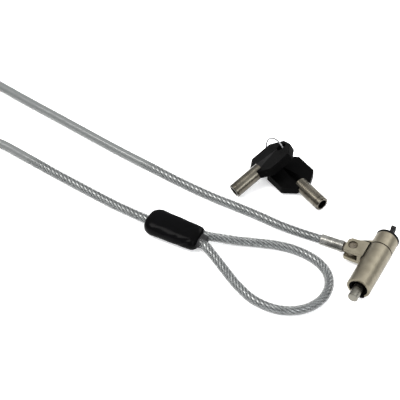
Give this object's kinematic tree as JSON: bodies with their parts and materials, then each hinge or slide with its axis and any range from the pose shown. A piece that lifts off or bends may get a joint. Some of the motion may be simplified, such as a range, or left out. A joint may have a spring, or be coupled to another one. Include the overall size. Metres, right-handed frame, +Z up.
{
  "type": "laptop cable lock",
  "caption": "Push-to-lock barrel with a turning slot hook on a swivelling clevis, a jacketed steel cable ending in a crimped loop, and tubular keys on a ring.",
  "frame": {"origin": "centre of the rubber pad's front face, on the lock's axis", "axes": "+Y along the lock's axis towards the laptop, +Z up from the table that it lies on; the cable leaves towards -X"},
  "size_m": [0.3267, 0.1011, 0.0206],
  "materials": {
    "satin_nickel": "satin nickel plate, fine bead-blasted grain",
    "bright_nickel": "bright nickel plate with soft dents",
    "post_steel": "turned steel, satin",
    "black_steel": "black oxide, satin",
    "dark_pin": "dull steel rivet head",
    "brass": "machined brass",
    "spring_steel": "drawn wire",
    "black_rubber": "matt rubber",
    "black_plastic": "moulded black plastic, light texture",
    "black_sleeve": "shrunk vinyl sleeve, soft gloss",
    "cable_strand": "clear jacket over twisted steel strands",
    "crimp_alloy": "pressed aluminium",
    "key_nickel": "nickel plate with fine draw lines"
  },
  "bodies": {
    "cable": {"cable_eye": "satin_nickel", "lock_ferrule": "bright_nickel", "cable_lock_run": "cable_strand", "cable_coil": "cable_strand", "coil_tie": "black_rubber", "cable_loop_run": "cable_strand", "loop_crimp": "crimp_alloy", "crimp_sleeve": "black_sleeve", "cable_loop": "cable_strand"},
    "collar": {"swivel_collar": "satin_nickel", "pivot_pin": "dark_pin"},
    "barrel": {"barrel": "satin_nickel", "retaining_ring": "satin_nickel", "rubber_pad": "black_rubber", "keyway_ring": "black_plastic", "spring_washer": "post_steel", "main_spring": "spring_steel"},
    "core": {"stator": "brass", "driver_pins": "brass", "tumbler_springs": "spring_steel"},
    "rotor": {"rotor_post": "post_steel", "key_pins": "brass"},
    "hook": {"hook": "black_steel", "cam_pin": "post_steel"},
    "ring": {"key_ring": "spring_steel"},
    "key_1": {"key_1_bow": "black_plastic", "key_1_tube": "key_nickel"},
    "key_2": {"key_2_bow": "black_plastic", "key_2_tube": "key_nickel"}
  },
  "joints": [
    {"name": "cable_pivot", "type": "hinge", "parent": "cable", "child": "collar", "pos_m": [-0.0129, -0.0155, 0], "axis": [0, 0, 1], "range_deg": [-6, 80]},
    {"name": "head_swivel", "type": "hinge", "parent": "collar", "child": "barrel", "pos_m": [0, 0, 0], "axis": [0, 1, 0], "continuous": true},
    {"name": "plunger_push", "type": "slide", "parent": "barrel", "child": "core", "axis": [0, 1, 0], "range_m": [0, 0.004], "stiffness_N_per_m": 600, "springref_m": -0.001, "deforming": ["main_spring"]},
    {"name": "key_turn", "type": "hinge", "parent": "core", "child": "rotor", "pos_m": [0, -0.033, 0], "axis": [0, 1, 0], "range_deg": [0, 45]},
    {"name": "hook_turn", "type": "hinge", "parent": "barrel", "child": "hook", "pos_m": [0, 0, 0], "axis": [0, 1, 0], "range_deg": [0, 90]},
    {"name": "keys_lift", "type": "slide", "parent": "cable", "child": "ring", "axis": [0, 0, 1], "range_m": [0, 0.06]},
    {"name": "key_1_swing", "type": "hinge", "parent": "ring", "child": "key_1", "pos_m": [-0.07131, 0.02519, 0.00881], "axis": [-0.6448, 0.4137, 0.6427], "range_deg": [0, 50]},
    {"name": "key_2_swing", "type": "hinge", "parent": "ring", "child": "key_2", "pos_m": [-0.07121, 0.02348, -0.00298], "axis": [0, 0, 1], "range_deg": [-6, 40]}
  ],
  "couplings": [
    {"joint": "hook_turn", "follows": "plunger_push", "rad_per_m": 392.7}
  ]
}
